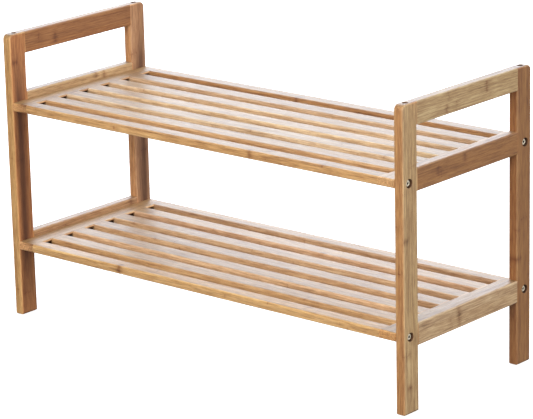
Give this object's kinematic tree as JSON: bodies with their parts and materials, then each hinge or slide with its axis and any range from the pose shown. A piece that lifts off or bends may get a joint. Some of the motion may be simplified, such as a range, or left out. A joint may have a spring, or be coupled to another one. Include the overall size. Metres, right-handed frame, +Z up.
{
  "type": "slatted shoe rack bench",
  "caption": "Low two-tier bamboo bench and shoe rack: two side frames with hand gaps carry two slatted shelves, held by hex-socket bolts through the posts.",
  "frame": {"origin": "centre of the footprint, on the floor", "axes": "+X along the bench towards its right end as seen from the front, -Y towards the front, +Z up"},
  "size_m": [0.73, 0.285, 0.424],
  "materials": {
    "bamboo_frame": "satin clear lacquer on glued bamboo strips",
    "bamboo_shelf": "satin clear lacquer on glued bamboo strips",
    "bolt_steel": "zinc plated, satin",
    "insert_brass": "plain turned"
  },
  "bodies": {
    "root": {"left_front_post": "bamboo_frame", "left_rear_post": "bamboo_frame", "left_handle_rail": "bamboo_frame", "left_upper_side_rail": "bamboo_frame", "left_lower_side_rail": "bamboo_frame", "right_front_post": "bamboo_frame", "right_rear_post": "bamboo_frame", "right_handle_rail": "bamboo_frame", "right_upper_side_rail": "bamboo_frame", "right_lower_side_rail": "bamboo_frame", "upper_shelf_left_crossbar": "bamboo_shelf", "upper_shelf_right_crossbar": "bamboo_shelf", "upper_shelf_slat_1": "bamboo_shelf", "upper_shelf_slat_2": "bamboo_shelf", "upper_shelf_slat_3": "bamboo_shelf", "upper_shelf_slat_4": "bamboo_shelf", "upper_shelf_slat_5": "bamboo_shelf", "upper_shelf_slat_6": "bamboo_shelf", "upper_shelf_slat_7": "bamboo_shelf", "lower_shelf_left_crossbar": "bamboo_shelf", "lower_shelf_right_crossbar": "bamboo_shelf", "lower_shelf_slat_1": "bamboo_shelf", "lower_shelf_slat_2": "bamboo_shelf", "lower_shelf_slat_3": "bamboo_shelf", "lower_shelf_slat_4": "bamboo_shelf", "lower_shelf_slat_5": "bamboo_shelf", "lower_shelf_slat_6": "bamboo_shelf", "lower_shelf_slat_7": "bamboo_shelf", "bolt_left_front_upper": "bolt_steel", "bolt_left_front_lower": "bolt_steel", "bolt_left_rear_upper": "bolt_steel", "bolt_left_rear_lower": "bolt_steel", "bolt_right_front_upper": "bolt_steel", "bolt_right_front_lower": "bolt_steel", "bolt_right_rear_upper": "bolt_steel", "bolt_right_rear_lower": "bolt_steel", "insert_left_front_upper": "insert_brass", "insert_left_front_lower": "insert_brass", "insert_left_rear_upper": "insert_brass", "insert_left_rear_lower": "insert_brass", "insert_right_front_upper": "insert_brass", "insert_right_front_lower": "insert_brass", "insert_right_rear_upper": "insert_brass", "insert_right_rear_lower": "insert_brass"}
  },
  "joints": []
}
